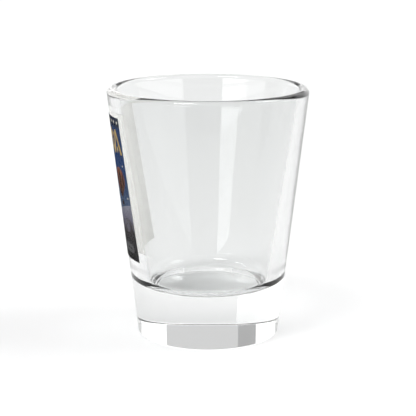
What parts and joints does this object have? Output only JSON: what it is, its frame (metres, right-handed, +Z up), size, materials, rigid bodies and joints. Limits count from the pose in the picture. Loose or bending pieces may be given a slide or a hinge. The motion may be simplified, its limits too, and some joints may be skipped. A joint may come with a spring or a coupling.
{
  "type": "shot glass",
  "caption": "Souvenir shot glass: clear tapered tumbler with a thick solid foot, rounded rim and a picture panel printed on one side.",
  "frame": {"origin": "centre of the flat underside, on the surface the glass stands on", "axes": "+Z up along the glass's axis, out of its mouth; the printed panel faces -Y; +X is to the right of someone looking at the panel"},
  "size_m": [0.048, 0.048, 0.06],
  "materials": {
    "clear_glass": "clear, fire polished",
    "white_base": "opaque white printed film",
    "ink_navy": "printed ink",
    "ink_blue": "printed ink",
    "ink_pale": "printed ink",
    "ink_gold": "printed ink",
    "ink_orange": "printed ink",
    "ink_brown": "printed ink",
    "ink_violet": "printed ink",
    "ink_taupe": "printed ink",
    "ink_charcoal": "printed ink",
    "ink_grey": "printed ink",
    "clear_coat": "clear gloss coat"
  },
  "bodies": {
    "root": {"glass_body": "clear_glass", "white_base": "white_base", "ink_navy": "ink_navy", "ink_blue": "ink_blue", "ink_pale": "ink_pale", "ink_gold": "ink_gold", "ink_orange": "ink_orange", "ink_brown": "ink_brown", "ink_violet": "ink_violet", "ink_taupe": "ink_taupe", "ink_charcoal": "ink_charcoal", "ink_grey": "ink_grey", "clear_coat": "clear_coat"}
  },
  "joints": []
}
